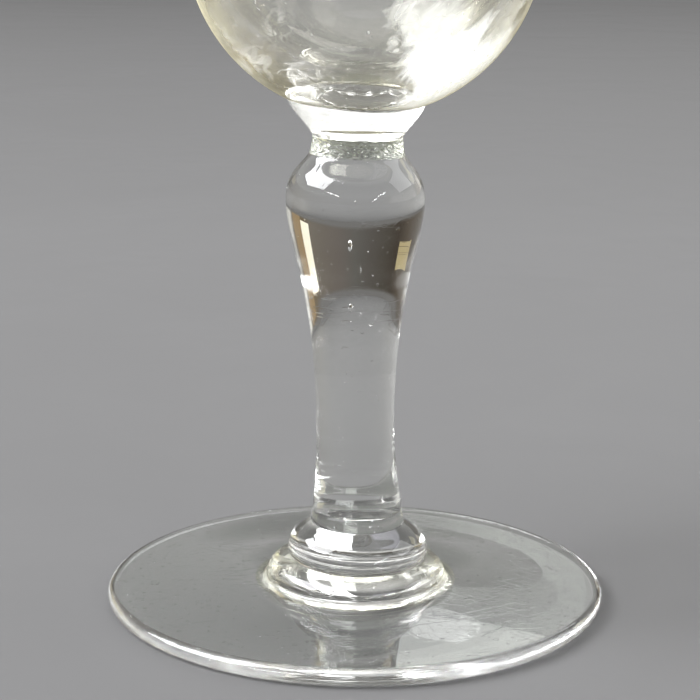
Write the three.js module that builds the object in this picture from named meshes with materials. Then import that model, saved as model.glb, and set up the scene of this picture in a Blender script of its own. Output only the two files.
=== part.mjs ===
// A hand-made champagne glass: a bowl on a solid baluster stem and a round foot.
// It is built as the glassmaker builds it, from gathers of hot glass set one on another.
// Millimetres, +Z up. The origin is the middle of the foot, on the surface that it stands on.
import * as THREE from 'three';

// Driving dimensions, one group for each gather, from the foot up.
const FOOT = {
  radius: 35,
  thickness: 2.4,
  edgeDepth: 1.3, // how far the rounded edge reaches in from the rim
  restWidth: 3.6, // the flat ring that touches the table
  hollow: 0.6, // how far the underside rises in the middle
};
const LOWER_KNOP = {
  height: 3.1,
  radius: 12.6,
  skirtRadius: 14.2, // where its glass runs out over the foot
  skirtHeight: 0.8,
};
const UPPER_KNOP = {
  height: 5.2,
  radius: 9.85,
  waistRadius: 9.45, // the crease between the two knops
  widestHeight: 1.2,
};
const WAFER = {
  height: 1.8,
  radius: 6.58,
};
const STEM = {
  height: 50.2,
  baseRadius: 6.22,
  slimRadius: 5.46,
  slimHeight: 11.5, // where the shaft is thinnest, above the wafer
  bulbRadius: 9.54,
  bulbHeight: 44.1, // where the bulb is widest, above the wafer
  topRadius: 6.58,
};
const SEAM = {
  height: 2.5,
  topRadius: 6.2,
};
const COLLAR = {
  height: 4.7,
};
const BOWL = {
  height: 81.3,
  radius: 23.7,
  seatRadius: 9.4, // where the collar takes hold of the round bottom
  rimRadius: 22.2,
  sideWall: 1.9,
  rimWall: 1.5,
  base: 2.6, // glass between the collar and the hollow
  aside: 0.4, // how far the bowl stands off the stem's axis to the right, as hot glass sets
  forward: 1, // and how far to the front
};

// Steps of the turned surfaces: round the axis, along a long bend and along a short one.
const ROUND_STEPS = 48;
const LONG_STEPS = 8;
const SHORT_STEPS = 4;

// Heights where one gather ends and the next begins.
const FOOT_TOP = FOOT.thickness;
const LOWER_KNOP_TOP = FOOT_TOP + LOWER_KNOP.height;
const UPPER_KNOP_TOP = LOWER_KNOP_TOP + UPPER_KNOP.height;
const WAFER_TOP = UPPER_KNOP_TOP + WAFER.height;
const STEM_TOP = WAFER_TOP + STEM.height;
const SEAM_TOP = STEM_TOP + SEAM.height;
const COLLAR_TOP = SEAM_TOP + COLLAR.height;
const RIM_TOP = COLLAR_TOP + BOWL.height;

const CLEAR_GLASS = { color: 0xdfe4e0, roughness: 0.04, metalness: 0, transparent: true, opacity: 0.45 };
const WARM_GLASS = { ...CLEAR_GLASS, color: 0xe6e3cf };
const ROUGH_GLASS = { ...CLEAR_GLASS, color: 0xd3dac2, roughness: 0.35 };

// A point of an outline: its distance from the axis and its height.
function at(radius, height) {
  return new THREE.Vector2(radius, height);
}

// A smooth stretch of an outline. Each pull is a share of the way to the other end, outward and upward.
function bend(start, startPull, end, endPull, steps) {
  const way = end.clone().sub(start);
  const leave = start.clone().add(way.clone().multiply(at(...startPull)));
  const arrive = end.clone().sub(way.clone().multiply(at(...endPull)));
  return new THREE.CubicBezierCurve(start, leave, arrive, end).getPoints(steps);
}

// A round stretch of an outline about a centre on the axis, between two distances from the axis.
function roundBottom(centreHeight, radius, fromRadius, toRadius, steps) {
  const fromAngle = -Math.acos(fromRadius / radius);
  const toAngle = -Math.acos(toRadius / radius);
  const clockwise = toAngle < fromAngle;
  return new THREE.EllipseCurve(0, centreHeight, radius, radius, fromAngle, toAngle, clockwise).getPoints(steps);
}

// A closed solid turned about the axis. The outline runs from the axis, out and up, and back to it.
function turned(outline) {
  const points = outline.flat().filter((point, i, all) => i === 0 || point.distanceTo(all[i - 1]) > 1e-4);
  return new THREE.LatheGeometry(points, ROUND_STEPS).rotateX(Math.PI / 2);
}

function footDisc() {
  const rim = at(FOOT.radius, FOOT.thickness / 2);
  const restOuter = at(FOOT.radius - FOOT.edgeDepth, 0);
  const restInner = at(FOOT.radius - FOOT.edgeDepth - FOOT.restWidth, 0);
  const topEdge = at(FOOT.radius - FOOT.edgeDepth, FOOT_TOP);
  return turned([
    bend(at(0, FOOT.hollow), [0.5, 0], restInner, [0.3, 0.1], SHORT_STEPS),
    bend(restOuter, [0.55, 0], rim, [0, 0.55], SHORT_STEPS),
    bend(rim, [0, 0.55], topEdge, [0.55, 0], SHORT_STEPS),
    at(0, FOOT_TOP),
  ]);
}

function lowerKnop() {
  const skirt = at(LOWER_KNOP.skirtRadius, FOOT_TOP);
  const widest = at(LOWER_KNOP.radius, FOOT_TOP + LOWER_KNOP.skirtHeight);
  const crease = at(UPPER_KNOP.waistRadius, LOWER_KNOP_TOP);
  return turned([
    at(0, FOOT_TOP),
    bend(skirt, [0.6, 0.05], widest, [0.05, 0.6], SHORT_STEPS),
    bend(widest, [0.05, 0.6], crease, [0.55, 0.05], LONG_STEPS),
    at(0, LOWER_KNOP_TOP),
  ]);
}

function upperKnop() {
  const crease = at(UPPER_KNOP.waistRadius, LOWER_KNOP_TOP);
  const widest = at(UPPER_KNOP.radius, LOWER_KNOP_TOP + UPPER_KNOP.widestHeight);
  const shoulder = at(WAFER.radius, UPPER_KNOP_TOP);
  return turned([
    at(0, LOWER_KNOP_TOP),
    bend(crease, [0.6, 0.2], widest, [0, 0.5], SHORT_STEPS),
    bend(widest, [0, 0.5], shoulder, [0.45, 0.2], LONG_STEPS),
    at(0, UPPER_KNOP_TOP),
  ]);
}

function stemWafer() {
  const base = at(WAFER.radius, UPPER_KNOP_TOP);
  const top = at(STEM.baseRadius, WAFER_TOP);
  return turned([
    at(0, UPPER_KNOP_TOP),
    bend(base, [-0.2, 0.3], top, [0.7, 0.3], SHORT_STEPS),
    at(0, WAFER_TOP),
  ]);
}

function balusterStem() {
  const base = at(STEM.baseRadius, WAFER_TOP);
  const slim = at(STEM.slimRadius, WAFER_TOP + STEM.slimHeight);
  const bulb = at(STEM.bulbRadius, WAFER_TOP + STEM.bulbHeight);
  const top = at(STEM.topRadius, STEM_TOP);
  return turned([
    at(0, WAFER_TOP),
    bend(base, [0.32, 0.33], slim, [0, 0.39], SHORT_STEPS),
    bend(slim, [0, 0.63], bulb, [0, 0.19], LONG_STEPS),
    bend(bulb, [0, 0.56], top, [0.23, 0.23], LONG_STEPS),
    at(0, STEM_TOP),
  ]);
}

function seamRing() {
  const base = at(STEM.topRadius, STEM_TOP);
  const top = at(SEAM.topRadius, SEAM_TOP);
  return turned([
    at(0, STEM_TOP),
    bend(base, [0.82, 0.25], top, [-0.48, 0.35], SHORT_STEPS),
    at(0, SEAM_TOP),
  ]);
}

// The collar leans, so that its top meets the bowl's seat while its foot stays on the stem.
function bowlCollar() {
  const base = at(SEAM.topRadius, SEAM_TOP);
  const top = at(BOWL.seatRadius, COLLAR_TOP);
  const collar = turned([
    at(0, SEAM_TOP),
    bend(base, [0.09, 0.23], top, [0.16, 0.38], SHORT_STEPS),
    at(0, COLLAR_TOP),
  ]);
  const leanAside = BOWL.aside / COLLAR.height;
  const leanForward = BOWL.forward / COLLAR.height;
  return collar
    .translate(0, 0, -SEAM_TOP)
    .applyMatrix4(new THREE.Matrix4().makeShear(0, 0, 0, 0, leanAside, -leanForward))
    .translate(0, 0, SEAM_TOP);
}

// A round bottom outside and in, a wall that draws in a little, and a melted rim.
function bowlShell() {
  const outerCentre = COLLAR_TOP + Math.sqrt(BOWL.radius ** 2 - BOWL.seatRadius ** 2);
  const hollowRadius = BOWL.radius - BOWL.sideWall;
  const hollowCentre = COLLAR_TOP + BOWL.base + hollowRadius;
  const rimRound = BOWL.rimWall / 2;
  const rimOuter = at(BOWL.rimRadius, RIM_TOP - rimRound);
  const rimCrown = at(BOWL.rimRadius - rimRound, RIM_TOP);
  const rimInner = at(BOWL.rimRadius - BOWL.rimWall, RIM_TOP - rimRound);
  return turned([
    at(0, COLLAR_TOP),
    roundBottom(outerCentre, BOWL.radius, BOWL.seatRadius, BOWL.radius, LONG_STEPS),
    bend(at(BOWL.radius, outerCentre), [0, 0.4], rimOuter, [0.5, 0.3], LONG_STEPS),
    bend(rimOuter, [0, 0.55], rimCrown, [0.55, 0], SHORT_STEPS),
    bend(rimCrown, [0.55, 0], rimInner, [0, 0.55], SHORT_STEPS),
    bend(rimInner, [0.5, 0.3], at(hollowRadius, hollowCentre), [0, 0.4], LONG_STEPS),
    roundBottom(hollowCentre, hollowRadius, hollowRadius, 0, LONG_STEPS),
  ]);
}

// One named mesh with its own glass, standing on the stem's axis or off it to the right and the front.
function gather(name, geometry, glass, aside = 0, forward = 0) {
  const mesh = new THREE.Mesh(geometry, new THREE.MeshStandardMaterial(glass));
  mesh.name = name;
  mesh.position.set(aside, -forward, 0);
  return mesh;
}

const champagneGlass = new THREE.Group();
champagneGlass.name = 'champagne_glass';
champagneGlass.add(
  gather('foot_disc', footDisc(), CLEAR_GLASS),
  gather('lower_knop', lowerKnop(), CLEAR_GLASS),
  gather('upper_knop', upperKnop(), CLEAR_GLASS),
  gather('stem_wafer', stemWafer(), CLEAR_GLASS),
  gather('baluster_stem', balusterStem(), CLEAR_GLASS),
  gather('seam_ring', seamRing(), ROUGH_GLASS),
  gather('bowl_collar', bowlCollar(), CLEAR_GLASS),
  gather('bowl', bowlShell(), WARM_GLASS, BOWL.aside, BOWL.forward),
);

export default champagneGlass;
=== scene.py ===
# %% [markdown]
# # A champagne glass, gathered and turned by hand
#
# A stemmed glass is made of gathers of hot glass. The blown bowl, the collar under it, the solid stem,
# the knop at its foot and the pressed foot are set one on another while they are soft.
# This lesson builds each gather as its own piece round a fixed frame of plain solids, and then spends
# most of its care on what clear glass really shows: the room behind it, bent, and the lamps in it.

# %% The frame
import math
import random

import bpy
import numpy as np
from mathutils import Matrix, Vector


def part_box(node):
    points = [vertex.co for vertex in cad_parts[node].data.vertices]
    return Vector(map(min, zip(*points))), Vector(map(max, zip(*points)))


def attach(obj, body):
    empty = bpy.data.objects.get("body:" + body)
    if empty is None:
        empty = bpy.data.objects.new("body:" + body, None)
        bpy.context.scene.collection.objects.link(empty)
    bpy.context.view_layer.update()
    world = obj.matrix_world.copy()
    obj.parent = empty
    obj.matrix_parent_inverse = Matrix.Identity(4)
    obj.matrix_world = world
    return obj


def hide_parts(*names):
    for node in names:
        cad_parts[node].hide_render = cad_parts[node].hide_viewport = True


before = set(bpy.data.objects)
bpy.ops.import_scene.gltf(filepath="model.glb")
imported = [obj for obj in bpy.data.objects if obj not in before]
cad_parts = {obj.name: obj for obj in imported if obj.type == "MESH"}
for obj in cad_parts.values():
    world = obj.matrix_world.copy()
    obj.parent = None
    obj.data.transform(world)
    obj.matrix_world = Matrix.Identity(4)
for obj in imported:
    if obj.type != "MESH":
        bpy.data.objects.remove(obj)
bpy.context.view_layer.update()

MM = 0.001

# %% [markdown]
# ## The camera
#
# The photograph was taken from close by, a little above the knop, with a long lens. Its place was worked out
# from the foot: a round foot 70 mm across is seen as an ellipse of just one shape from each place.
# The camera is made first, so that each piece can be looked at as soon as it stands.

# %% Camera
CAMERA_AWAY = 258.3 * MM  # from the stem's axis, measured level
CAMERA_HEIGHT = 96.9 * MM  # above the table
CAMERA_ASIDE = -0.96 * MM  # to the right of the stem's axis
CAMERA_PITCH = 13.4  # degrees below level
CAMERA_ROLL = 0.57  # degrees
CAMERA_LENS = 98.45  # mm
SENSOR = 36.0  # mm
NEAREST, FARTHEST = 0.01, 20  # metres, between which the camera sees

camera_data = bpy.data.cameras.new("camera")
camera_data.lens = CAMERA_LENS
camera_data.sensor_width = SENSOR
camera_data.clip_start = NEAREST
camera_data.clip_end = FARTHEST
camera = bpy.data.objects.new("camera", camera_data)
bpy.context.scene.collection.objects.link(camera)
camera.location = (CAMERA_ASIDE, -CAMERA_AWAY, CAMERA_HEIGHT)
tilt = Matrix.Rotation(math.radians(90 - CAMERA_PITCH), 4, "X")
roll = Matrix.Rotation(math.radians(CAMERA_ROLL), 4, "Z")
camera.rotation_euler = (tilt @ roll).to_euler()
bpy.context.scene.camera = camera
print("Camera field of view:", round(math.degrees(camera_data.angle), 2), "degrees")

# %% [markdown]
# ## Outlines
#
# Every gather was turned on the iron, so each one is an outline swung round an axis. An outline is written
# as a few smooth bends between named places. Each point of a bend also keeps the direction in which
# the bend runs there, because that direction gives the surface its exact slope, and clear glass shows
# the smallest error in slope as a kink in whatever is seen through it.

# %% Bends
TINY = 1e-6  # a length that counts as nothing


def bend(start, leave, end, arrive, steps=12):
    """Points (radius, height, run outward, run upward) of a bend, in mm. A pull is a share of the way."""
    start, end = np.array(start, float), np.array(end, float)
    way = end - start
    first, second = start + way * leave, end - way * arrive
    t = np.linspace(0, 1, steps + 1)[:, None]
    points = (1 - t) ** 3 * start + 3 * (1 - t) ** 2 * t * first + 3 * (1 - t) * t**2 * second + t**3 * end
    runs = 3 * (1 - t) ** 2 * (first - start) + 6 * (1 - t) * t * (second - first) + 3 * t**2 * (end - second)
    runs[0] = runs[0] if np.hypot(*runs[0]) > TINY else second - start
    runs[-1] = runs[-1] if np.hypot(*runs[-1]) > TINY else end - first
    return np.hstack([points, runs / np.linalg.norm(runs, axis=1)[:, None]])


def round_bend(centre, radius, start_angle, end_angle, steps=24):
    """Points of an arc in the same form. Angles are in degrees, with 0 outward and 90 upward."""
    angle = np.radians(np.linspace(start_angle, end_angle, steps + 1))
    turn = 1 if end_angle > start_angle else -1
    points = np.stack([centre[0] + radius * np.cos(angle), centre[1] + radius * np.sin(angle)], 1)
    return np.hstack([points, turn * np.stack([-np.sin(angle), np.cos(angle)], 1)])


def straight(start, end, steps=4):
    """Points of a straight stretch in the same form."""
    start, end = np.array(start, float), np.array(end, float)
    points = start + (end - start) * np.linspace(0, 1, steps + 1)[:, None]
    run = (end - start) / np.linalg.norm(end - start)
    return np.hstack([points, np.tile(run, (steps + 1, 1))])


quarter = round_bend((0, 0), 10, 0, 90)
print("A quarter round of 10 mm:", len(quarter), "points, the last at", quarter[-1, :2].round(2).tolist())

# %% [markdown]
# ## Heights and radii
#
# The heights where one gather ends and the next begins come from the frame, so each piece here meets its
# neighbours exactly where the solids do. The frame's boxes give the widest radii too. The radii between
# them, such as the slim part of the shaft, aren't in any box, so they are named here.

# %% Sizes


def top_of(node):
    """The height of a solid's top, in mm."""
    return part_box(node)[1].z / MM


def reach_of(node):
    """Half the width of a solid, in mm."""
    low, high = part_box(node)
    return (high.x - low.x) / 2 / MM


FOOT_TOP = top_of("foot_disc")
WIDE_KNOP_TOP = top_of("lower_knop")
HIGH_KNOP_TOP = top_of("upper_knop")
WAFER_TOP = top_of("stem_wafer")
STEM_TOP = top_of("baluster_stem")
SEAM_TOP = top_of("seam_ring")
COLLAR_TOP = top_of("bowl_collar")
RIM_TOP = top_of("bowl")
FOOT_RADIUS = reach_of("foot_disc")
BULB_RADIUS = reach_of("baluster_stem")
BOWL_RADIUS = reach_of("bowl")
BOWL_ASIDE = (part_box("bowl")[0].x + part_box("bowl")[1].x) / 2 / MM
BOWL_AHEAD = -(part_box("bowl")[0].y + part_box("bowl")[1].y) / 2 / MM

# The radii and heights between those of the boxes, in mm.
EDGE_DEPTH = 1.3
REST_WIDTH = 3.6
HOLLOW_RISE = 0.6
SKIRT_RADIUS = 14.2
WIDE_KNOP_RADIUS = 12.6
SKIRT_HEIGHT = 0.8
CREASE_RADIUS = 9.45
HIGH_KNOP_RADIUS = 9.85
HIGH_KNOP_WIDEST = 1.2
WAFER_RADIUS = 6.58
BASE_RADIUS = 6.22
SLIM_RADIUS = 5.46
SLIM_HEIGHT = 11.5
BULB_HEIGHT = 44.1
STEM_TOP_RADIUS = 6.58
SEAM_TOP_RADIUS = 6.2
SEAT_RADIUS = 9.4
RIM_RADIUS = 22.2
SIDE_WALL = 1.9
RIM_WALL = 1.5
BOWL_BASE = 2.6
BOWL_CENTRE = COLLAR_TOP + math.sqrt(BOWL_RADIUS**2 - SEAT_RADIUS**2)
JOINTS = (FOOT_TOP, WIDE_KNOP_TOP, HIGH_KNOP_TOP, WAFER_TOP, STEM_TOP, SEAM_TOP, COLLAR_TOP)
print("Joints at", [round(z, 2) for z in JOINTS], "mm, rim at", round(RIM_TOP, 2))

# %% [markdown]
# ## Hand-made unevenness
#
# Glass that is shaped by hand is never quite round. Slow waves run round it and along it, too small to feel
# but clear to see, because they stretch and pinch what shows through the glass. One function bends the
# whole object, so two pieces that meet at a joint are bent alike there and stay together.

# %% Waves, leans and marks
waves = random.Random(7)
CORDS = [(k, waves.uniform(0, 2 * math.pi), waves.uniform(0.02, 0.09)) for k in (2, 3, 5, 8, 13)]
CORD_DEPTH = 0.02  # mm, of all the waves together
CORD_INSET = 0.6  # how far the waves are set in, as a share of their depth
SETTLED = 5  # mm from the axis, inside which waves and rings fade out

# How far each level leans to the right and nods to the front, in radians.
LEAN = [(0, 0), (2.4, 0), (5.5, 0.024), (10.7, 0.02), (16, 0), (48, 0), (58, 0.025), (66, 0.03)]
LEAN = LEAN + [(COLLAR_TOP, 0.04)]
NOD = [(0, 0), (58, 0), (63, 0.006), (COLLAR_TOP, 0.045)]
SEAT_LEAN, SEAT_NOD = LEAN[-1][1], NOD[-1][1]
SEAT_TO_CENTRE = BOWL_CENTRE - COLLAR_TOP
# How far the middle of each level stands to the right of the foot's, and behind it, in mm.
DRIFT = [(0, 0), (2.4, 0.1), (6.5, 0.38), (13, 0.25), (24, -0.1), (40, -0.27), (57, -0.43), (64.6, -0.2)]
DRIFT = DRIFT + [(COLLAR_TOP, BOWL_ASIDE - SEAT_TO_CENTRE * math.sin(SEAT_LEAN))]
SET_BACK = [(0, 0), (58, 0), (COLLAR_TOP, SEAT_TO_CENTRE * math.sin(SEAT_NOD) - BOWL_AHEAD)]
# Rings left by the tools: height, how far the glass stands out, and how wide the ring is, in mm.
RINGS = [(68.7, -0.03, 0.25), (65.4, 0.03, 0.25), (41.7, 0.03, 2.5), (45.3, -0.03, 2.5)]
RINGS = RINGS + [(13.4, 0.06, 0.8), (12.2, -0.03, 0.5)]
# The iron's marks on the seam: short ridges that run every way, as waves round, waves up and a phase.
marks = random.Random(3)
SEAM_RADIUS = 6.4  # mm
RIDGES = []
for _ in range(40):
    fineness, way = marks.uniform(3, 13), marks.uniform(0.6, 2.1)
    phase = marks.uniform(0, 2 * math.pi)
    RIDGES.append((round(SEAM_RADIUS * fineness * math.cos(way)), fineness * math.sin(way), phase))
RIDGE_DEPTH = 0.07  # mm
RIDGE_FADE = 0.8  # how much shallower the ridges are at the seam's top, as a share
RIDGE_RISE = 6  # how soon past the seam's ends the ridges reach their depth
BACK_DROP = 0.25  # share of the foot's thickness that is missing at its far side
BACK = math.radians(105)  # where that side is, round from the right
print(len(CORDS), "slow waves,", len(RINGS), "tool rings and", len(RIDGES), "ridges on the seam")

# %% Smooth curves


def through(knots, height):
    """A smooth curve through the knots, at each height of an array."""
    at, value = np.array(knots).T
    slope = np.gradient(value, at)
    i = np.clip(np.searchsorted(at, height) - 1, 0, len(at) - 2)
    gap = at[i + 1] - at[i]
    t = np.clip((height - at[i]) / gap, 0, 1)
    rise = (1 + 2 * t) * (1 - t) ** 2 * value[i] + t**2 * (3 - 2 * t) * value[i + 1]
    return rise + gap * (t * (1 - t) ** 2 * slope[i] - t**2 * (1 - t) * slope[i + 1])


def ease(share):
    """A share from 0 to 1 that starts and stops gently."""
    share = np.clip(share, 0, 1)
    return share**2 * (3 - 2 * share)


drifts = through(DRIFT, np.linspace(0, COLLAR_TOP, 200))
print("The stem's middle drifts from", round(drifts.min(), 2), "to", round(drifts.max(), 2), "mm aside")

# %% Place


def place(radius, height, angle):
    """The world point, in mm, of an outline point at an angle round the axis. Works on whole arrays."""
    wave = sum(np.cos(k * angle + phase + slide * height) / k for k, phase, slide in CORDS)
    uneven = radius + CORD_DEPTH * (wave / 2 - CORD_INSET) * np.minimum(radius / SETTLED, 1)
    ring = sum(out * np.exp(-(((height - at) / wide) ** 2)) for at, out, wide in RINGS)
    uneven = uneven + ring * np.minimum(radius / SETTLED, 1)
    share = np.clip((height - STEM_TOP) / (SEAM_TOP - STEM_TOP), 0, 1)
    if np.any(share * (1 - share) > 0):
        ridge = sum(np.cos(k * angle + slide * height + phase) for k, slide, phase in RIDGES)
        deep = RIDGE_DEPTH * (1 - RIDGE_FADE * share) * np.minimum(RIDGE_RISE * share * (1 - share), 1)
        uneven = uneven + deep * ridge / math.sqrt(len(RIDGES) / 2)
    x, y = uneven * np.cos(angle), uneven * np.sin(angle)
    below = BOWL_CENTRE - height
    in_bowl = height >= COLLAR_TOP
    seated = ease(below / SEAT_TO_CENTRE)
    lean = np.where(in_bowl, SEAT_LEAN * seated, through(LEAN, height))
    nod = np.where(in_bowl, SEAT_NOD * seated, through(NOD, height))
    right = np.where(in_bowl, BOWL_ASIDE - below * np.sin(lean), through(DRIFT, height))
    back = np.where(in_bowl, below * np.sin(nod) - BOWL_AHEAD, through(SET_BACK, height))
    z = BOWL_CENTRE - below * np.cos(lean) * np.cos(nod) - x * np.sin(lean) + y * np.sin(nod)
    far = ease((radius - SKIRT_RADIUS) / (FOOT_RADIUS - SKIRT_RADIUS)) * (1 + np.cos(angle - BACK)) / 2
    z = np.where(height <= FOOT_TOP, z * (1 - BACK_DROP * far), z)
    return np.stack([right + x * np.cos(lean), back + y * np.cos(nod), z], -1)


# %% [markdown]
# ## Turning a piece
#
# Each gather becomes a closed mesh: rings of points round the axis, and a disc where it is fused to its
# neighbour. Real fused glass has no surface at such a joint, so the discs get a material of their own that
# lets light straight through. The slopes are set from the outline, so the surface reads as one
# smooth skin across a joint.

# %% Rings and faces
ROUND_STEPS = 160
SLOPE_STEP = 1e-3  # mm and radians, to each side of the point whose slope is taken
SAME_POINT = 1e-4  # mm, under which two points are one


def joined(bends):
    """One array of all the bends, without the second copy of a point that two of them share."""
    outline = np.vstack(bends)
    steps = np.hypot(*np.diff(outline[:, :2], axis=0).T)
    return outline[[True, *(steps > SAME_POINT)]]


def ring_faces(rings, around, first=0):
    """The faces between rings of points, where first is the number of the first ring's first point."""
    faces = []
    for i in range(rings - 1):
        a, b = first + i * around, first + (i + 1) * around
        for j in range(around):
            k = (j + 1) % around
            faces.append((a + j, a + k, b + k, b + j))
    return faces


def stand(name, points, faces, *materials):
    """Puts a smooth mesh of points in mm into the scene, with its materials."""
    mesh = bpy.data.meshes.new(name)
    mesh.from_pydata([tuple(v * MM) for v in points], [], faces)
    mesh.polygons.foreach_set("use_smooth", [True] * len(faces))
    for material in materials:
        mesh.materials.append(material)
    piece = bpy.data.objects.new(name, mesh)
    bpy.context.scene.collection.objects.link(piece)
    return piece


gap_in_ring = 2 * math.pi * BOWL_RADIUS / ROUND_STEPS
print("The points of a ring round the bowl lie", round(gap_in_ring, 2), "mm apart")

# %% Turn
GLASS_SLOT, JOINT_SLOT = 0, 1


def turn(name, outline, glass, around=ROUND_STEPS):
    """A closed mesh turned from an outline that runs upward, with discs at the ends off the axis."""
    r, z, dr, dz = joined(outline).T
    low_pole, high_pole = r[0] < TINY, r[-1] < TINY
    rings = slice(1 if low_pole else 0, len(r) - 1 if high_pole else len(r))
    angle = np.arange(around) * 2 * math.pi / around
    R, A = np.meshgrid(r[rings], angle, indexing="ij")
    Z, DR, DZ = [np.tile(v[rings][:, None], around) for v in (z, dr, dz)]
    points = place(R, Z, A)
    # A slope is taken on the piece's own side of a joint, so the piece beyond it has no say.
    ahead, behind = np.full_like(R, SLOPE_STEP), np.full_like(R, SLOPE_STEP)
    ahead[-1] *= high_pole
    behind[0] *= low_pole
    along = place(R + DR * ahead, Z + DZ * ahead, A) - place(R - DR * behind, Z - DZ * behind, A)
    across = place(R, Z, A + SLOPE_STEP) - place(R, Z, A - SLOPE_STEP)
    slopes = np.cross(across, along)
    slopes /= np.linalg.norm(slopes, axis=2)[:, :, None]
    count = points.shape[0]
    verts = list(points.reshape(-1, 3)) + [place(0.0, z[0], 0.0), place(0.0, z[-1], 0.0)]
    normals = list(slopes.reshape(-1, 3)) + [(0, 0, -1), (0, 0, 1)]
    low, high = len(verts) - 2, len(verts) - 1
    faces = ring_faces(count, around)
    slots = [GLASS_SLOT] * len(faces)
    top = (count - 1) * around
    for j in range(around):
        k = (j + 1) % around
        faces += [(low, k, j), (high, top + j, top + k)]
        slots += [GLASS_SLOT if low_pole else JOINT_SLOT, GLASS_SLOT if high_pole else JOINT_SLOT]
    piece = stand(name, verts, faces, glass, JOINT)
    piece.data.polygons.foreach_set("material_index", slots)
    piece.data.update()
    piece.data.normals_split_custom_set_from_vertices([tuple(n) for n in normals])
    print(name, len(verts), "points")
    return piece


# %% [markdown]
# ## Effects that several materials share
#
# Each effect is a small net of nodes with named inputs and outputs. It gives masks and heights that change
# over the surface, and each material sets its own size and strength.

# %% Node helpers
NUMBER, COLOUR = "NodeSocketFloat", "NodeSocketColor"
MIX_SHARE, MIX_FIRST, MIX_SECOND, MIX_RESULT = 0, 6, 7, 2  # the sockets of a colour mix


def fill(tree, node, feed):
    """Gives a node its inputs: an output is linked, and a number or a colour is set."""
    for key, value in feed.items():
        if isinstance(value, bpy.types.NodeSocket):
            tree.links.new(value, node.inputs[key])
        else:
            node.inputs[key].default_value = value


def add(tree, kind, feed=None, **settings):
    """Adds a node with its settings and its inputs."""
    node = tree.nodes.new(kind)
    for key, value in settings.items():
        setattr(node, key, value)
    fill(tree, node, feed or {})
    return node


def maths(tree, operation, first, second=0.0, clamp=False):
    """One sum of two values, each of them a number or an output."""
    node = add(tree, "ShaderNodeMath", {0: first, 1: second}, operation=operation, use_clamp=clamp)
    return node.outputs[0]


def mixed(tree, share, first, second, blend_type="MIX"):
    """A mix of two colours. The share is that of the second."""
    feed = {MIX_SHARE: share, MIX_FIRST: first, MIX_SECOND: second}
    node = add(tree, "ShaderNodeMix", data_type="RGBA", blend_type=blend_type)
    fill(tree, node, feed)
    return node.outputs[MIX_RESULT]


def spot_in(tree):
    """The place on the piece, in metres."""
    return add(tree, "ShaderNodeTexCoord").outputs["Object"]


def turned_spot(tree, spot, angles, stretch):
    """A place in a pattern that is turned by some radians and stretched."""
    feed = {"Vector": spot, "Rotation": angles, "Scale": stretch}
    return add(tree, "ShaderNodeMapping", feed, vector_type="TEXTURE").outputs[0]


def axis_of(tree, vector, axis):
    """One axis of a vector."""
    return add(tree, "ShaderNodeSeparateXYZ", {0: vector}).outputs[axis]


def noise(tree, spot, size, detail, distortion=0.0, kind="FBM"):
    """Noise from 0 to 1, with about so many clouds to a metre as its size says."""
    feed = {"Vector": spot, "Scale": size, "Detail": detail, "Distortion": distortion}
    return add(tree, "ShaderNodeTexNoise", feed, noise_type=kind).outputs["Fac"]


def effect(name, inputs, outputs):
    """An empty effect. Returns its tree, the outputs of its inputs, and the inputs of its outputs."""
    group = bpy.data.node_groups.new(name, "ShaderNodeTree")
    for label, default in inputs.items():
        kind = COLOUR if isinstance(default, tuple) else NUMBER
        group.interface.new_socket(label, in_out="INPUT", socket_type=kind).default_value = default
    for label, kind in outputs.items():
        group.interface.new_socket(label, in_out="OUTPUT", socket_type=kind)
    return group, group.nodes.new("NodeGroupInput").outputs, group.nodes.new("NodeGroupOutput").inputs


def use(tree, group, **values):
    """Places an effect in a material and sets its inputs."""
    node = tree.nodes.new("ShaderNodeGroup")
    node.node_tree = group
    for key, value in values.items():
        node.inputs[key.capitalize()].default_value = value
    return node.outputs


# %% [markdown]
# Glass that has been handled carries a thin uneven film. Where the film is thicker the surface is a little
# rougher, so reflections lose their edge there.

# %% Smudges
FINER = 9.0  # how many times finer the small spots are than the large ones
BARE = 0.95  # how high the noise has to be where the cover is 0
SMUDGE_SHARPNESS = 4.0
SMUDGES, given, gives = effect(
    "Smudges", {"Size": 60.0, "Cover": 0.5, "Least": 0.0, "Most": 0.1}, {"Roughness": NUMBER}
)
spot = spot_in(SMUDGES)
large = noise(SMUDGES, spot, given["Size"], 4, 0.6)
small = noise(SMUDGES, spot, maths(SMUDGES, "MULTIPLY", given["Size"], FINER), 3)
raised = maths(SMUDGES, "SUBTRACT", large, maths(SMUDGES, "SUBTRACT", BARE, given["Cover"]))
cover = maths(SMUDGES, "MULTIPLY", raised, SMUDGE_SHARPNESS, clamp=True)
mask = maths(SMUDGES, "MULTIPLY", cover, small)
span = maths(SMUDGES, "SUBTRACT", given["Most"], given["Least"])
rough = maths(SMUDGES, "ADD", maths(SMUDGES, "MULTIPLY", mask, span), given["Least"])
SMUDGES.links.new(rough, gives["Roughness"])
print("Smudges:", len(SMUDGES.nodes), "nodes")

# %% [markdown]
# Years of washing and of standing on shelves leave hairline scratches. Noise that is stretched thin gives
# them, and only a narrow slice of it is kept, so most of the surface stays clean.

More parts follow.
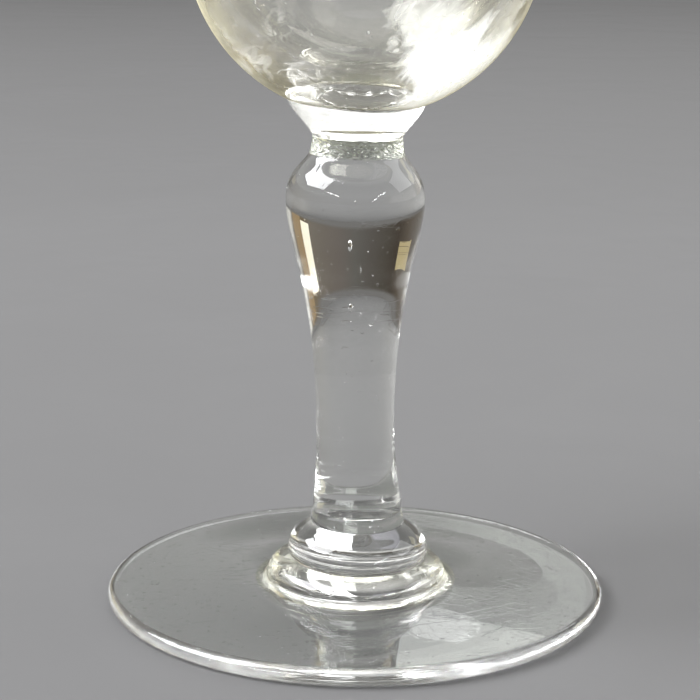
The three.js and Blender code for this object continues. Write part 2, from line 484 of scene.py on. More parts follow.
# %% Fine scratches
MIDDLE = 0.5  # the middle value of any noise
PATCHES = 140.0  # to a metre
PATCH_SHARPNESS = 8.0
SCRATCH_TURNS = ((0.3, 0.5, 0.2), (1.5, -0.4, 0.9), (-1.4, 0.2, 2.1))  # one for each set of scratches
SCRATCH_STRETCH = (1, 1, 30)
SCRATCHES, given, gives = effect("Fine scratches", {"Size": 300.0, "Width": 0.012}, {"Height": NUMBER})
spot = spot_in(SCRATCHES)
patchy = maths(SCRATCHES, "SUBTRACT", noise(SCRATCHES, spot, PATCHES, 2), MIDDLE)
patchy = maths(SCRATCHES, "MULTIPLY", patchy, PATCH_SHARPNESS, clamp=True)
total = 0.0
for angles in SCRATCH_TURNS:
    streak = noise(SCRATCHES, turned_spot(SCRATCHES, spot, angles, SCRATCH_STRETCH), given["Size"], 1)
    off = maths(SCRATCHES, "ABSOLUTE", maths(SCRATCHES, "SUBTRACT", streak, MIDDLE))
    line = maths(SCRATCHES, "SUBTRACT", 1.0, maths(SCRATCHES, "DIVIDE", off, given["Width"]), clamp=True)
    total = maths(SCRATCHES, "ADD", line, total)
depth = maths(SCRATCHES, "MULTIPLY", maths(SCRATCHES, "MULTIPLY", total, patchy), -1.0)
SCRATCHES.links.new(depth, gives["Height"])
print("Fine scratches:", len(SCRATCHES.nodes), "nodes")

# %% [markdown]
# Dust lies as single grains of many sizes. Each cell of a cell pattern holds at most one grain, and the
# cell's own random value decides how large it is.

# %% Dust
GRAIN_RARITY = 12.0  # the higher it is, the fewer the large grains
GRAIN_SHARPNESS = 12.0
DUST, given, gives = effect("Dust", {"Size": 500.0, "Amount": 0.3}, {"Height": NUMBER})
cells = add(DUST, "ShaderNodeTexVoronoi", {"Vector": spot_in(DUST), "Scale": given["Size"]}).outputs
chance = axis_of(DUST, cells["Color"], "X")
grain = maths(DUST, "MULTIPLY", maths(DUST, "POWER", chance, GRAIN_RARITY), given["Amount"])
inside = maths(DUST, "SUBTRACT", grain, cells["Distance"])
DUST.links.new(maths(DUST, "MULTIPLY", inside, GRAIN_SHARPNESS, clamp=True), gives["Height"])
print("Dust:", len(DUST.nodes), "nodes")

# %% [markdown]
# Where hot glass was nipped with the iron its skin stays wrinkled: fine ridges that cross each other, in
# broad patches that are rougher or smoother.

# %% Tooled skin
RIDGE_TURN, RIDGE_STRETCH = (0.0, 0.7, 0.0), (2, 1, 0.7)
SKIN, given, gives = effect("Tooled skin", {"Size": 900.0, "Slant": 0.6}, {"Height": NUMBER})
spot = spot_in(SKIN)
slanted = turned_spot(SKIN, spot, RIDGE_TURN, RIDGE_STRETCH)
ridges = noise(SKIN, slanted, given["Size"], 4, kind="RIDGED_MULTIFRACTAL")
shared = maths(SKIN, "MULTIPLY", ridges, given["Slant"])
SKIN.links.new(maths(SKIN, "ADD", shared, noise(SKIN, spot, given["Size"], 3)), gives["Height"])
print("Tooled skin:", len(SKIN.nodes), "nodes")

# %% [markdown]
# A knop is nipped in from its two sides only, so its marks are small dents there, and its front and back
# stay as smooth as the fire left them.

# %% Nipped sides
NIP_SHARPNESS = 700.0  # per metre past the reach
NIPPED, given, gives = effect("Nipped sides", {"Size": 2000.0, "Reach": 0.0105}, {"Height": NUMBER})
spot = spot_in(NIPPED)
aside = maths(NIPPED, "ABSOLUTE", axis_of(NIPPED, spot, "X"))
beyond = maths(NIPPED, "SUBTRACT", aside, given["Reach"])
beyond = maths(NIPPED, "MULTIPLY", beyond, NIP_SHARPNESS, clamp=True)
NIPPED.links.new(maths(NIPPED, "MULTIPLY", noise(NIPPED, spot, given["Size"], 1), beyond), gives["Height"])
print("Nipped sides:", len(NIPPED.nodes), "nodes")

# %% [markdown]
# The colour of a gather is never quite even, because the pot was never quite stirred.

# %% Uneven colour
WHITE = (1, 1, 1, 1)
UNEVEN, given, gives = effect(
    "Uneven colour", {"Size": 80.0, "First": WHITE, "Second": WHITE}, {"Colour": COLOUR}
)
cloud = noise(UNEVEN, spot_in(UNEVEN), given["Size"], 3, 1.0)
UNEVEN.links.new(mixed(UNEVEN, cloud, given["First"], given["Second"]), gives["Colour"])
print("Uneven colour:", len(UNEVEN.nodes), "nodes")

# %% [markdown]
# ## Glass
#
# All the gathers are the same clear glass. What differs is the tint, how much wear each one has and how its
# skin was worked.

# %% Glasses
GLASS_BEND = 1.52  # how strongly the glass bends light
TINT_SIZE = 80.0  # clouds of tint to a metre
EDGE_BLEND = 0.35  # how far in from its outline a glass looks deeper


def principled(name):
    """A new material, its tree and its shader."""
    material = bpy.data.materials.new(name)
    material.use_nodes = True
    return material, material.node_tree, material.node_tree.nodes["Principled BSDF"]


def clear_glass(name, first, second, at_edge, smudges, bumps):
    """A clear glass: a tint that is deeper at the edge, smudges, bumps of (effect, inputs, depth in mm)."""
    material, tree, shader = principled(name)
    tint = use(tree, UNEVEN, size=TINT_SIZE, first=(*first, 1), second=(*second, 1))["Colour"]
    # Near its outline a glass is seen through more of its thickness, so its tint is deeper there.
    slope = add(tree, "ShaderNodeLayerWeight", {"Blend": EDGE_BLEND}).outputs["Facing"]
    fill(tree, shader, {
        "Base Color": mixed(tree, slope, tint, (*at_edge, 1)),
        "Roughness": use(tree, SMUDGES, **smudges)["Roughness"],
        "Transmission Weight": 1,
        "IOR": GLASS_BEND,
    })
    below = {}
    for group, values, depth in bumps:
        feed = {"Height": use(tree, group, **values)["Height"], "Distance": depth * MM, **below}
        below = {"Normal": add(tree, "ShaderNodeBump", feed).outputs["Normal"]}
    fill(tree, shader, below)
    return material


JOINT = bpy.data.materials.new("fused joint")
JOINT.use_nodes = True
JOINT.node_tree.nodes.clear()
clear = add(JOINT.node_tree, "ShaderNodeBsdfTransparent")
add(JOINT.node_tree, "ShaderNodeOutputMaterial", {"Surface": clear.outputs[0]})

WEAR = [
    (SCRATCHES, {"size": 260.0, "width": 0.006}, 0.004),
    (DUST, {"size": 1500.0, "amount": 0.4}, 0.02),
]
FOOT_WEAR = [
    (SCRATCHES, {"size": 200.0, "width": 0.008}, 0.003),
    (DUST, {"size": 1300.0, "amount": 0.5}, 0.03),
]
STEM_GLASS = clear_glass(
    "stem glass", (0.985, 0.99, 0.975), (0.975, 0.983, 0.965), (0.94, 0.94, 0.86),
    {"size": 90.0, "cover": 0.4, "least": 0.0, "most": 0.04}, WEAR,
)
BOWL_GLASS = clear_glass(
    "bowl glass", (0.965, 0.965, 0.95), (0.955, 0.955, 0.93), (0.92, 0.89, 0.73),
    {"size": 50.0, "cover": 0.42, "least": 0.0, "most": 0.05}, WEAR,
)
FOOT_GLASS = clear_glass(
    "foot glass", (0.99, 0.995, 0.985), (0.98, 0.99, 0.975), (0.97, 0.985, 0.95),
    {"size": 70.0, "cover": 0.45, "least": 0.0, "most": 0.06}, FOOT_WEAR,
)
KNOP_GLASS = clear_glass(
    "knop glass", (0.99, 0.99, 0.975), (0.98, 0.985, 0.96), (0.88, 0.88, 0.5),
    {"size": 70.0, "cover": 0.4, "least": 0.0, "most": 0.04},
    [*WEAR, (NIPPED, {"size": 1300.0, "reach": 0.0095}, 0.07)],
)
SEAM_GLASS = clear_glass(
    "seam glass", (0.88, 0.92, 0.8), (0.8, 0.86, 0.7), (0.75, 0.82, 0.6),
    {"size": 400.0, "cover": 0.6, "least": 0.0, "most": 0.1},
    [(SKIN, {"size": 1400.0, "slant": 0.8}, 0.08)],
)
print("Materials so far:", [material.name for material in bpy.data.materials])

# %% [markdown]
# ## The foot
#
# The foot is pressed flat while it is soft, so its top is level, its rim is round, and only a narrow ring of
# its underside touches the table. One turned mesh is enough. What makes it look pressed by hand is that it
# is a little thinner at the far side, and `place` sees to that.

# %% Foot
rest_outer = FOOT_RADIUS - EDGE_DEPTH
rest_inner = rest_outer - REST_WIDTH
edge = (FOOT_RADIUS, FOOT_TOP / 2)
foot = turn("pressed_foot", [
    bend((0, HOLLOW_RISE), (0.5, 0), (rest_inner, 0), (0.3, 0.1), 24),
    straight((rest_inner, 0), (rest_outer, 0)),
    bend((rest_outer, 0), (0.55, 0), edge, (0, 0.55), 8),
    bend(edge, (0, 0.55), (rest_outer, FOOT_TOP), (0.55, 0), 8),
    straight((rest_outer, FOOT_TOP), (SKIRT_RADIUS, FOOT_TOP), 24),
], FOOT_GLASS)

# %% [markdown]
# ## The knops and the stem's ring
#
# Two rounded rings tie the stem to the foot. Each could be a torus, but a torus has no skirt and no crease,
# and those are what the light picks out here. So each ring is turned from its own outline, and the two
# outlines share the crease between them. The lower one was nipped in with the iron at its sides.

# %% Knops
skirt = (SKIRT_RADIUS, FOOT_TOP)
wide = (WIDE_KNOP_RADIUS, FOOT_TOP + SKIRT_HEIGHT)
crease = (CREASE_RADIUS, WIDE_KNOP_TOP)
wide_knop = turn("wide_knop", [
    bend(skirt, (0.6, 0.05), wide, (0.05, 0.6)),
    bend(wide, (0.05, 0.6), crease, (0.55, 0.05), 20),
], KNOP_GLASS)
high = (HIGH_KNOP_RADIUS, WIDE_KNOP_TOP + HIGH_KNOP_WIDEST)
shoulder = (WAFER_RADIUS, HIGH_KNOP_TOP)
high_knop = turn("high_knop", [
    bend(crease, (0.6, 0.2), high, (0, 0.5)),
    bend(high, (0, 0.5), shoulder, (0.45, 0.2), 20),
], STEM_GLASS)
base = (BASE_RADIUS, WAFER_TOP)
wafer = turn("stem_ring", [bend(shoulder, (-0.2, 0.3), base, (0.7, 0.3))], STEM_GLASS)

# %% [markdown]
# ## The stem, the seam and the collar
#
# The stem was drawn out by its own weight: slim above the foot, and swelling to a bulb near the top. A solid
# of that shape is a strong lens, so its outline needs many steps. The seam is the band where the bowl was
# stuck on, and its wrinkles are real ones, because a bump would leave its outline smooth.

# %% Stem
slim = (SLIM_RADIUS, WAFER_TOP + SLIM_HEIGHT)
bulb = (BULB_RADIUS, WAFER_TOP + BULB_HEIGHT)
stem_top = (STEM_TOP_RADIUS, STEM_TOP)
stem = turn("drawn_stem", [
    bend(base, (0.32, 0.33), slim, (0, 0.39), 30),
    bend(slim, (0, 0.63), bulb, (0, 0.19), 80),
    bend(bulb, (0, 0.56), stem_top, (0.23, 0.23), 30),
], STEM_GLASS)
seam_top = (SEAM_TOP_RADIUS, SEAM_TOP)
seam_outline = bend(stem_top, (0.82, 0.25), seam_top, (-0.48, 0.35), 40)
seam = turn("tooled_seam", [seam_outline], SEAM_GLASS, around=480)
seat = (SEAT_RADIUS, COLLAR_TOP)
collar = turn("flared_collar", [bend(seam_top, (0.09, 0.23), seat, (0.16, 0.38), 30)], STEM_GLASS)

# %% [markdown]
# ## The bowl
#
# The bowl is one closed skin: up the outside, over the rim and down the inside. Its outside and its hollow
# are round about different centres, so the glass is thick below and thin at the side, as a blown bowl is.

# %% Bowl
hollow_radius = BOWL_RADIUS - SIDE_WALL
hollow_centre = COLLAR_TOP + BOWL_BASE + hollow_radius
rim_round = RIM_WALL / 2
rim_outer = (RIM_RADIUS, RIM_TOP - rim_round)
rim_crown = (RIM_RADIUS - rim_round, RIM_TOP)
rim_inner = (RIM_RADIUS - RIM_WALL, RIM_TOP - rim_round)
seat_angle = -math.degrees(math.acos(SEAT_RADIUS / BOWL_RADIUS))
outer_wall = bend((BOWL_RADIUS, BOWL_CENTRE), (0, 0.4), rim_outer, (0.5, 0.3), 40)
inner_wall = bend(rim_inner, (0.5, 0.3), (hollow_radius, hollow_centre), (0, 0.4), 40)
bowl = turn("blown_bowl", [
    round_bend((0, BOWL_CENTRE), BOWL_RADIUS, seat_angle, 0, 48),
    outer_wall,
    bend(rim_outer, (0, 0.55), rim_crown, (0.55, 0), 6),
    bend(rim_crown, (0.55, 0), rim_inner, (0, 0.55), 6),
    inner_wall,
    round_bend((0, hollow_centre), hollow_radius, 0, -90, 60),
], BOWL_GLASS)

# %% [markdown]
# ## The film inside the bowl, a painted highlight
#
# A thin pale film on the inner wall, in slanting streaks as a cloth would leave them, is a painted highlight
# where the window's light shows bright low in the bowl. A texture on the bowl itself can't show it,
# because clear glass has no surface colour. So the film gets skins of its own, and this effect says where on
# them it lies: a band at each side, and a pool low on the right with a streak across from it; those two glow.

# %% Film as painted highlight
STREAK_TURN, STREAK_STRETCH = (0.0, -0.9, 0.0), (1, 0.7, 0.25)
STREAKS = 100.0  # to a metre
TORN_AT, TORN_SHARPNESS = 0.42, 6.0  # where the streaks tear the film
WOBBLE = 0.012  # metres, by which the streaks push the film's borders about
# The film this effect places is a white coat that stands in for the window's bright light: painted highlight.
FILM_HIGHLIGHT, given, gives = effect(
    "Film highlight",
    {"Right Edge": 0.004, "Left Edge": -0.0135, "Pool Edge": 0.0045, "Pool Top": 0.081, "Density": 1.0},
    {"Mask": NUMBER, "Pool": NUMBER, "Aside": NUMBER},
)


def past(value, edge, sharpness, upward=True):
    """How far a value is past an edge, from 0 to 1."""
    first, second = (value, edge) if upward else (edge, value)
    return maths(FILM_HIGHLIGHT, "MULTIPLY", maths(FILM_HIGHLIGHT, "SUBTRACT", first, second), sharpness, clamp=True)


def both(first, second):
    """Where two masks overlap, or one mask at a share of its strength."""
    return maths(FILM_HIGHLIGHT, "MULTIPLY", first, second)


spot = spot_in(FILM_HIGHLIGHT)
apart = add(FILM_HIGHLIGHT, "ShaderNodeSeparateXYZ", {0: spot}).outputs
streaks = noise(FILM_HIGHLIGHT, turned_spot(FILM_HIGHLIGHT, spot, STREAK_TURN, STREAK_STRETCH), STREAKS, 4, 0.6)
torn = past(streaks, TORN_AT, TORN_SHARPNESS)
wobble = maths(FILM_HIGHLIGHT, "MULTIPLY", maths(FILM_HIGHLIGHT, "SUBTRACT", streaks, MIDDLE), WOBBLE)
across = maths(FILM_HIGHLIGHT, "ADD", apart["X"], wobble)
along = maths(FILM_HIGHLIGHT, "ADD", apart["Z"], wobble)

# %% Borders of the film
# Each border is a place in metres and a sharpness per metre.
CLEAN_FROM = (0.0165, 300.0)  # rightward of it the right band stops
BEHIND = (-0.003, 500.0)  # behind it is the bowl's far side
POOL_ENDS = (0.0135, 220.0)  # rightward of it the pool is gone
GLOW_STREAK_RIGHT, GLOW_STREAK_LEFT, GLOW_STREAK_TOP = (-0.0095, 350.0), (-0.0145, 350.0), (0.0795, 400.0)
YELLOW_FROM = (0.014, 170.0)  # outward of it the film is yellow
# The bands and the pool take their places from the effect's inputs, so only sharpness is set here.
RIGHT_SHARPNESS, LEFT_SHARPNESS, POOL_SHARPNESS, POOL_TOP_SHARPNESS = 250.0, 200.0, 350.0, 300.0
RIGHT_SHARE, LEFT_SHARE, GLOW_STREAK_SHARE = 0.6, 0.5, 0.8  # how dense each of them is

# %% Where the film lies
band_stops = maths(FILM_HIGHLIGHT, "SUBTRACT", 1.0, past(across, *CLEAN_FROM))
right = both(past(across, given["Right Edge"], RIGHT_SHARPNESS), torn)
right = both(right, both(band_stops, RIGHT_SHARE))
left = both(both(past(across, given["Left Edge"], LEFT_SHARPNESS, False), torn), LEFT_SHARE)
pool = past(across, given["Pool Edge"], POOL_SHARPNESS)
pool = both(pool, past(along, given["Pool Top"], POOL_TOP_SHARPNESS, False))
anywhere = maths(FILM_HIGHLIGHT, "MAXIMUM", maths(FILM_HIGHLIGHT, "MAXIMUM", right, left), pool)
shown = both(anywhere, past(apart["Y"], *BEHIND))
FILM_HIGHLIGHT.links.new(both(shown, given["Density"]), gives["Mask"])
# The pool and the streak across from it glow in the second coat: painted highlight.
not_outside = maths(FILM_HIGHLIGHT, "SUBTRACT", 1.0, past(across, *POOL_ENDS))
glow_streak = both(past(across, *GLOW_STREAK_RIGHT, False), past(across, *GLOW_STREAK_LEFT))
glow_streak = both(both(glow_streak, past(along, *GLOW_STREAK_TOP, False)), torn)
glowing = maths(FILM_HIGHLIGHT, "MAXIMUM", both(pool, not_outside), both(glow_streak, GLOW_STREAK_SHARE))
FILM_HIGHLIGHT.links.new(both(glowing, given["Density"]), gives["Pool"])
FILM_HIGHLIGHT.links.new(past(maths(FILM_HIGHLIGHT, "ABSOLUTE", apart["X"]), *YELLOW_FROM), gives["Aside"])
print("Film highlight:", len(FILM_HIGHLIGHT.nodes), "nodes")

# %% [markdown]
# ## A skin for a film
#
# A film is far thinner than anything that can be modelled closed, so it is an open skin. It is turned from
# the same outline as the glass that it lies on, a hair's breadth off it, so it follows every unevenness.

# %% Skin


def skin(name, outline, lift, coat):
    """An open skin that follows an outline, lifted off the glass by so many mm, or sunk into it."""
    r, z, dr, dz = joined(outline).T
    angle = np.arange(ROUND_STEPS) * 2 * math.pi / ROUND_STEPS
    R, A = np.meshgrid(r + dz * lift, angle, indexing="ij")
    Z = np.tile((z - dr * lift)[:, None], ROUND_STEPS)
    faces = ring_faces(len(r), ROUND_STEPS)
    piece = stand(name, place(R, Z, A).reshape(-1, 3), faces, coat)
    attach(piece, "root")
    print(name, len(faces), "faces")


# %% [markdown]
# ## The film's two coats
#
# The bands of the film, a painted highlight, lie on the wall. Low on the right the glass turns the eye's path
# back before it reaches the air, so nothing on the wall shows there. The pool's skin therefore lies just
# inside the glass. A film lit through by the window comes out too dim in a renderer, so this one glows by
# itself,
# brighter than white paper: a painted highlight where the window's light shows bright low in the bowl. That
# is a stand-in made for this light: in a dark room the patch would still shine, and there the glow should be
# set to nothing.

# %% Film
FILM_DENSITY = 0.9  # a film of 1 would hide what is behind it
YELLOW_AT_SIDES = (0.9, 0.82, 0.54, 1)
GLOW_COLOUR = (0.95, 0.97, 1.0, 1)
# The glowing coat's own light: painted highlight, not a lamp.
HIGHLIGHT_GLOW = 1.3  # set for this light


def film_coat(name, mask_name, glow):
    """A dull white coat, a painted highlight, that shows where the mask is, yellower far to the sides, and
    glows by the given strength.
    """
    coat, tree, shader = principled(name)
    film = use(tree, FILM_HIGHLIGHT, density=FILM_DENSITY)
    tone = use(tree, UNEVEN, size=150.0, first=(0.95, 0.95, 0.94, 1), second=(0.9, 0.9, 0.88, 1))
    fill(tree, shader, {
        "Base Color": mixed(tree, film["Aside"], tone["Colour"], YELLOW_AT_SIDES),
        "Alpha": film[mask_name],
        "Roughness": 1,
        "Emission Color": GLOW_COLOUR,
        "Emission Strength": glow,
    })
    return coat


FILM_GAP = 0.03  # mm clear of the wall, so the film and the wall never fight
FILM_HEIGHT = 26.0  # mm above the bottom of the hollow
FILM_END = -87  # degrees, just short of the hollow's lowest point
coated_wall = inner_wall[inner_wall[:, 1] < hollow_centre - hollow_radius + FILM_HEIGHT]
hollow = [coated_wall, round_bend((0, hollow_centre), hollow_radius, 0, FILM_END, 50)]
# Painted highlight in two skins: a lit white coat on the wall, and a glowing coat just inside the glass.
skin("film_highlight", hollow, FILM_GAP, film_coat("film highlight coat", "Mask", 0.0))
skin("glowing_highlight", hollow, -FILM_GAP, film_coat("glowing highlight coat", "Pool", HIGHLIGHT_GLOW))

# %% [markdown]
# ## The bloom on the bowl
#
# Hands leave a bloom on the outside of the bowl. It is far too thin to see straight on. Near the outline the
# eye looks along it, through more of it, and there it shows as a pale straw-coloured border. It is thickest
# low down, where the bowl is held, and thins out toward the rim.

# %% Bloom
BLOOM_GAP = 0.004  # mm
BLOOM_FULL = 86  # mm high, up to which the bloom is at its thickest
BLOOM_FAINT = 104  # mm high, from which it is faint
BLOOM_LEAST = 0.12  # how much of it is left there
BLOOM_EDGE = 3.1  # the higher it is, the narrower the border
BLOOM_START = 1  # degrees round from the collar's edge, where the bloom begins
BLOOM_BLEND = 0.5  # how far in from the outline the border reaches
bloom, tree, shader = principled("hand bloom")
tone = use(tree, UNEVEN, size=90.0, first=(0.95, 0.87, 0.52, 1), second=(0.93, 0.87, 0.64, 1))
patchy = use(tree, SMUDGES, size=110.0, cover=0.75, least=0.45, most=1.3)
slope = add(tree, "ShaderNodeLayerWeight", {"Blend": BLOOM_BLEND}).outputs["Facing"]
held = add(tree, "ShaderNodeMapRange", {
    "Value": axis_of(tree, spot_in(tree), "Z"),
    "From Min": BLOOM_FULL * MM, "From Max": BLOOM_FAINT * MM, "To Min": 1, "To Max": BLOOM_LEAST,
}, interpolation_type="SMOOTHSTEP").outputs["Result"]
thick = maths(tree, "MULTIPLY", maths(tree, "POWER", slope, BLOOM_EDGE), held)
thick = maths(tree, "MULTIPLY", thick, patchy["Roughness"], clamp=True)
fill(tree, shader, {"Base Color": tone["Colour"], "Alpha": thick, "Roughness": 1})
touched = [round_bend((0, BOWL_CENTRE), BOWL_RADIUS, seat_angle + BLOOM_START, 0, 48), outer_wall]
skin("hand_bloom", touched, BLOOM_GAP, bloom)

# %% [markdown]
# ## Seeds
#
# A seed is a bubble that was left in the melt. The pull of the iron draws it long, so the seeds in the shaft
# stand upright. Each one is a small closed skin that faces inward, because its inside is the air.

# %% Seeds
# Distance from the axis, height, degrees round from the right, width and length, in mm.
STEM_SEEDS = [
    (0.45, 51.3, 200, 0.4, 1.6), (0.4, 42.3, 190, 0.3, 1.3), (4.2, 50.6, 290, 0.16, 0.2),
    (4.9, 47.2, 295, 0.18, 0.24), (1.4, 39.6, 20, 0.15, 0.2), (2.9, 33.0, 250, 0.1, 0.5),
    (2.2, 31.5, 240, 0.1, 0.3), (3.4, 32.0, 330, 0.1, 0.25), (3.5, 29.0, 320, 0.1, 0.25),
    (3.2, 25.0, 235, 0.12, 0.3), (2.8, 23.6, 240, 0.12, 0.3), (0.5, 56.2, 270, 0.14, 0.2),
]
# The same for the bowl, without the distance: its seeds lie in the middle of the wall.
BOWL_SEEDS = [
    (84.0, 232, 0.3, 0.4), (80.5, 252, 0.3, 0.35), (81.0, 272, 0.35, 0.4), (83.2, 305, 0.3, 0.4),
    (80.2, 325, 0.3, 0.35), (78.8, 318, 0.25, 0.3), (77.5, 300, 0.25, 0.4), (86.5, 340, 0.3, 0.4),
    (90.0, 215, 0.3, 0.5), (98.0, 285, 0.3, 0.6), (110.0, 60, 0.35, 0.6), (121.0, 160, 0.3, 0.6),
]

# %% Bubbles
SEED_AROUND, SEED_UP = 12, 7  # steps round a seed and from end to end


def in_wall(height):
    """Distance from the axis to the middle of the bowl's wall, in mm."""
    drop = max(BOWL_CENTRE - height, 0)
    return math.sqrt(max((BOWL_RADIUS - SIDE_WALL / 2) ** 2 - drop**2, 1))


def bubbles(name, seeds):
    """One mesh of small closed skins that face inward."""
    points, faces = [], []
    for reach, height, round_from_right, wide, tall in seeds:
        middle = place(np.array(reach), np.array(float(height)), math.radians(round_from_right))
        first = len(points)
        for i in range(1, SEED_UP):
            ring = wide / 2 * math.sin(math.pi * i / SEED_UP)
            level = tall / 2 * math.cos(math.pi * i / SEED_UP)
            for j in range(SEED_AROUND):
                angle = 2 * math.pi * j / SEED_AROUND
                points.append(middle + (ring * math.cos(angle), ring * math.sin(angle), level))
        crown, bottom = len(points), len(points) + 1
        points += [middle + (0, 0, tall / 2), middle - (0, 0, tall / 2)]
        last = first + (SEED_UP - 2) * SEED_AROUND
        for j in range(SEED_AROUND):
            k = (j + 1) % SEED_AROUND
            faces += [(crown, first + k, first + j), (bottom, last + j, last + k)]
        faces += ring_faces(SEED_UP - 1, SEED_AROUND, first)
    piece = stand(name, points, faces, SEED_GLASS)
    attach(piece, "root")
    print(name, len(seeds), "seeds")


SEED_GLASS = clear_glass(
    "seed skin", (0.99, 0.99, 0.97), (0.97, 0.97, 0.94), (0.95, 0.95, 0.85),
    {"size": 300.0, "cover": 0.4, "least": 0.0, "most": 0.05}, [(SKIN, {"size": 900.0, "slant": 0.5}, 0.001)],
)
bubbles("stem_seeds", STEM_SEEDS)
bubbles("bowl_seeds", [(in_wall(height), height, *rest) for height, *rest in BOWL_SEEDS])

# %% [markdown]
# ## Which piece stands for which solid
#
# Nothing on the glass moves, so every piece rides on the one body. Each turned piece takes the place of the
# plain solid that it was built round.

# %% Pieces
PIECES = {
    "foot_disc": (foot, "foot_glass"),
    "lower_knop": (wide_knop, "foot_glass"),
    "upper_knop": (high_knop, "stem_glass"),
    "stem_wafer": (wafer, "stem_glass"),
    "baluster_stem": (stem, "stem_glass"),
    "seam_ring": (seam, "seam_glass"),
    "bowl_collar": (collar, "stem_glass"),
    "bowl": (bowl, "bowl_glass"),
}
for node, (piece, slot) in PIECES.items():
    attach(piece, "root")
    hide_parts(node)
print(len(PIECES), "pieces take the place of solids")

# %% [markdown]
# ## The table
#
# The glass stands on a plain pale table top. Its grain is so fine that it only shows as a slight mottling,
# and the far part of it has painted shade: its colour darkens with distance behind the glass.

# %% Floor
FLOOR_REACH = 2400  # mm
FLOOR_GAP = 0.05  # mm under the foot, so the two faces never fight
SHADE_FROM = 0.3  # metres behind the glass, from where the painted shade starts
SHADE_GROWS = 0.83  # per metre
SHADE_CURVE = 0.7  # the lower it is, the sooner the shade deepens
SHADE_MOST = 0.62  # its share far back
PAINTED_SHADE = (0.05, 0.049, 0.049, 1)
table_top, tree, shader = principled("floor")
paint = use(tree, UNEVEN, size=35.0, first=(0.108, 0.107, 0.108, 1), second=(0.114, 0.113, 0.114, 1))
# Painted shade: the table's colour is mixed toward a dark grey far behind the glass.
far = maths(tree, "SUBTRACT", axis_of(tree, spot_in(tree), "Y"), SHADE_FROM)
far = maths(tree, "POWER", maths(tree, "MULTIPLY", far, SHADE_GROWS, clamp=True), SHADE_CURVE)
worn = use(tree, SMUDGES, size=12.0, cover=0.5, least=0.6, most=0.7)
fill(tree, shader, {
    "Base Color": mixed(tree, maths(tree, "MULTIPLY", far, SHADE_MOST), paint["Colour"], PAINTED_SHADE),
    "Roughness": worn["Roughness"],
})
corners = np.array([(-1, -1, 0), (1, -1, 0), (1, 1, 0), (-1, 1, 0)]) * FLOOR_REACH
floor = stand("floor", corners, [(0, 1, 2, 3)], table_top)
floor.location.z = -FLOOR_GAP * MM
print("The table top is", 2 * FLOOR_REACH * MM, "m across")

# %% [markdown]
# ## The room
#
# Clear glass has hardly any look of its own, so the room is part of the work. Low down behind the glass the
# room is dim and warm, and that gives the solid stem its dark middle. The ceiling is softly lit.

# %% Light of the room
# Height as the sine of the angle above level, the light from there, and how much of the low band it shows.
ROOM = [
    (-1.0, (0.165, 0.16, 0.155), 0),
    (0.003, (0.165, 0.16, 0.155), 0),
    (0.018, (0.13, 0.12, 0.11), 1),
    (0.22, (0.13, 0.12, 0.11), 1),
    (0.28, (0.62, 0.62, 0.6), 0),
    (0.42, (0.5, 0.5, 0.49), 0),
    (0.56, (0.15, 0.15, 0.15), 0),
    (0.7, (0.18, 0.18, 0.18), 0),
    (0.82, (1.0, 1.0, 0.99), 0),
    (0.93, (1.9, 1.9, 1.88), 0),
    (1.0, (1.9, 1.9, 1.88), 0),
]
# The low band from left to right behind the glass, as the sine of the angle round from straight behind.
BAND = [
    (-1.0, (0.16, 0.14, 0.12)),
    (-0.64, (0.075, 0.055, 0.036)),
    (-0.5, (0.042, 0.03, 0.018)),
    (-0.34, (0.062, 0.053, 0.04)),
    (-0.17, (0.083, 0.073, 0.063)),
    (0.0, (0.108, 0.102, 0.09)),
    (0.17, (0.132, 0.112, 0.097)),
    (0.5, (0.15, 0.128, 0.1)),
    (0.62, (0.15, 0.11, 0.055)),
    (0.83, (0.17, 0.125, 0.065)),
    (0.9, (0.9, 0.88, 0.83)),
    (1.0, (0.9, 0.88, 0.83)),
]
# The side that the camera stands on is dim: a share of the light, from the front to the back.
DEPTH = [(-1.0, (0.3, 0.3, 0.3)), (-0.7, (0.5, 0.5, 0.5)), (-0.45, (1, 1, 1)), (1.0, (1, 1, 1))]
print("Light at", len(ROOM), "heights, and at", len(BAND), "places along the low band")

# %% Room


def graded(tree, direction, stops):
    """The light along one direction, from stops of (place from -1 to 1, colour, alpha)."""
    share = add(tree, "ShaderNodeMapRange", {"Value": direction, "From Min": -1, "From Max": 1})
    ramp = add(tree, "ShaderNodeValToRGB", {0: share.outputs["Result"]})
    elements = ramp.color_ramp.elements
    for i, (at, colour, alpha) in enumerate(stops):
        stop = elements[i] if i < 2 else elements.new((at + 1) / 2)
        stop.position = (at + 1) / 2
        stop.color = (*colour, alpha)
    return ramp.outputs


world = bpy.data.worlds.new("studio")
bpy.context.scene.world = world
world.use_nodes = True
tree = world.node_tree
where = add(tree, "ShaderNodeTexCoord").outputs["Generated"]
way = add(tree, "ShaderNodeSeparateXYZ", {0: where}).outputs
room = graded(tree, way["Z"], ROOM)
band = graded(tree, way["X"], [(*stop, 1) for stop in BAND])
side = graded(tree, way["Y"], [(*stop, 1) for stop in DEPTH])
lit = mixed(tree, room["Alpha"], room["Color"], band["Color"])
fill(tree, tree.nodes["Background"], {"Color": mixed(tree, 1, lit, side["Color"], "MULTIPLY")})
print("The world:", len(tree.nodes), "nodes")

# %% [markdown]
# ## Lamps
#
# A lamp is placed by the direction in which the glass sees it: degrees round from straight behind, to the
# right as positive, and degrees above level. Its brightness is that of its face, so its power follows from
# its size.

# %% Lamps
AIM = Vector((0, 0, 0.055))  # metres, near the bulb, where every lamp points


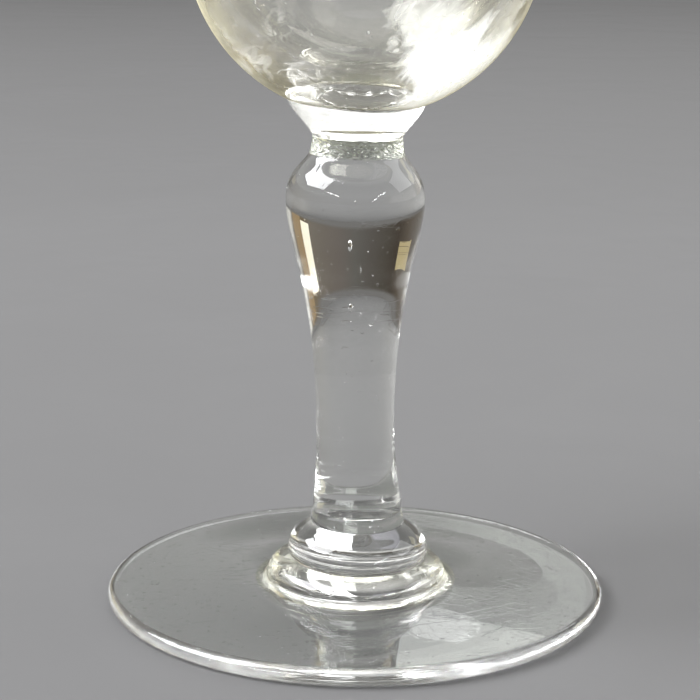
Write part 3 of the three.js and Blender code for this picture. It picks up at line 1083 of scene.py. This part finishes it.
def lamp(name, round_from_back, above, wide, tall, turned, away, brightness, colour):
    """A flat lamp that faces the bulb. Its width and height are in degrees as seen from there."""
    side, rise = math.radians(round_from_back), math.radians(above)
    way = Vector((math.sin(side) * math.cos(rise), math.cos(side) * math.cos(rise), math.sin(rise)))
    data = bpy.data.lights.new(name, "AREA")
    data.shape = "RECTANGLE"
    data.size = 2 * away * math.tan(math.radians(wide / 2))
    data.size_y = 2 * away * math.tan(math.radians(tall / 2))
    data.energy = brightness * math.pi * data.size * data.size_y
    data.color = colour
    light = bpy.data.objects.new(name, data)
    light.location = AIM + way * away
    facing = way.to_track_quat("Z", "Y").to_matrix().to_4x4()
    light.rotation_euler = (facing @ Matrix.Rotation(math.radians(turned), 4, "Z")).to_euler()
    light.visible_camera = False
    bpy.context.scene.collection.objects.link(light)


COOL, GREENISH = (0.97, 0.98, 1.0), (0.96, 1.0, 0.95)
# Degrees round and above, width, height and turn in degrees, metres away, brightness and colour.
LAMPS = [
    ("window", -98, 42, 38, 28, 8, 3, 15, COOL),
    ("window side", -70, 36, 20, 14, -6, 3, 15, COOL),
    ("upper window", -105, 64, 40, 12, 0, 3, 8, COOL),
    ("right panel", 80, 32, 36, 26, 0, 3, 2.2, COOL),
    ("left tube", -142, 22, 22, 1.5, -20, 3, 30, COOL),
    ("right tube", 133, 22, 16, 1.5, 20, 3, 30, COOL),
    ("right tube end", 148, 11, 10, 1.5, 35, 3, 30, COOL),
    ("back panel", 15, 37, 20, 18, -8, 3, 2.2, COOL),
    ("back glow", 5.5, 24, 10, 7, 0, 2.9, 0.8, GREENISH),
    ("back glow low", 4.5, 22.5, 6, 4, 0, 2.8, 0.5, GREENISH),
    ("cream board", 36.6, 7.5, 9.5, 11, 0, 1.5, 1.02, (1.0, 0.945, 0.79)),
    ("brown board", 48.7, 8, 14, 15, 0, 1.5, 0.17, (1.0, 0.62, 0.25)),
    ("tan board", -40.5, 10.5, 18, 6, 10, 1.5, 0.42, (1.0, 0.83, 0.43)),
    ("violet card", -18, 41, 14, 11, 0, 1.6, 0.2, (0.84, 0.84, 1.0)),
    ("yellow card", 49, 21, 14, 9, 15, 1.5, 1.2, (1.0, 0.93, 0.55)),
]
for row in LAMPS:
    lamp(*row)
print(len(LAMPS), "lamps")

# %% Light paths
BOUNCES = 96  # of light, which clear glass needs many of
CLEAR_BOUNCES = 200  # through the joints and the film's clear parts
scene = bpy.context.scene
scene.view_settings.view_transform = "Standard"
scene.cycles.max_bounces = BOUNCES
scene.cycles.transmission_bounces = BOUNCES
scene.cycles.transparent_max_bounces = CLEAR_BOUNCES
scene.cycles.glossy_bounces = BOUNCES
scene.cycles.sample_clamp_indirect = 0  # no limit, so a lamp seen through glass keeps its brightness
scene.cycles.use_denoising = True
print("Up to", BOUNCES, "bounces of light")
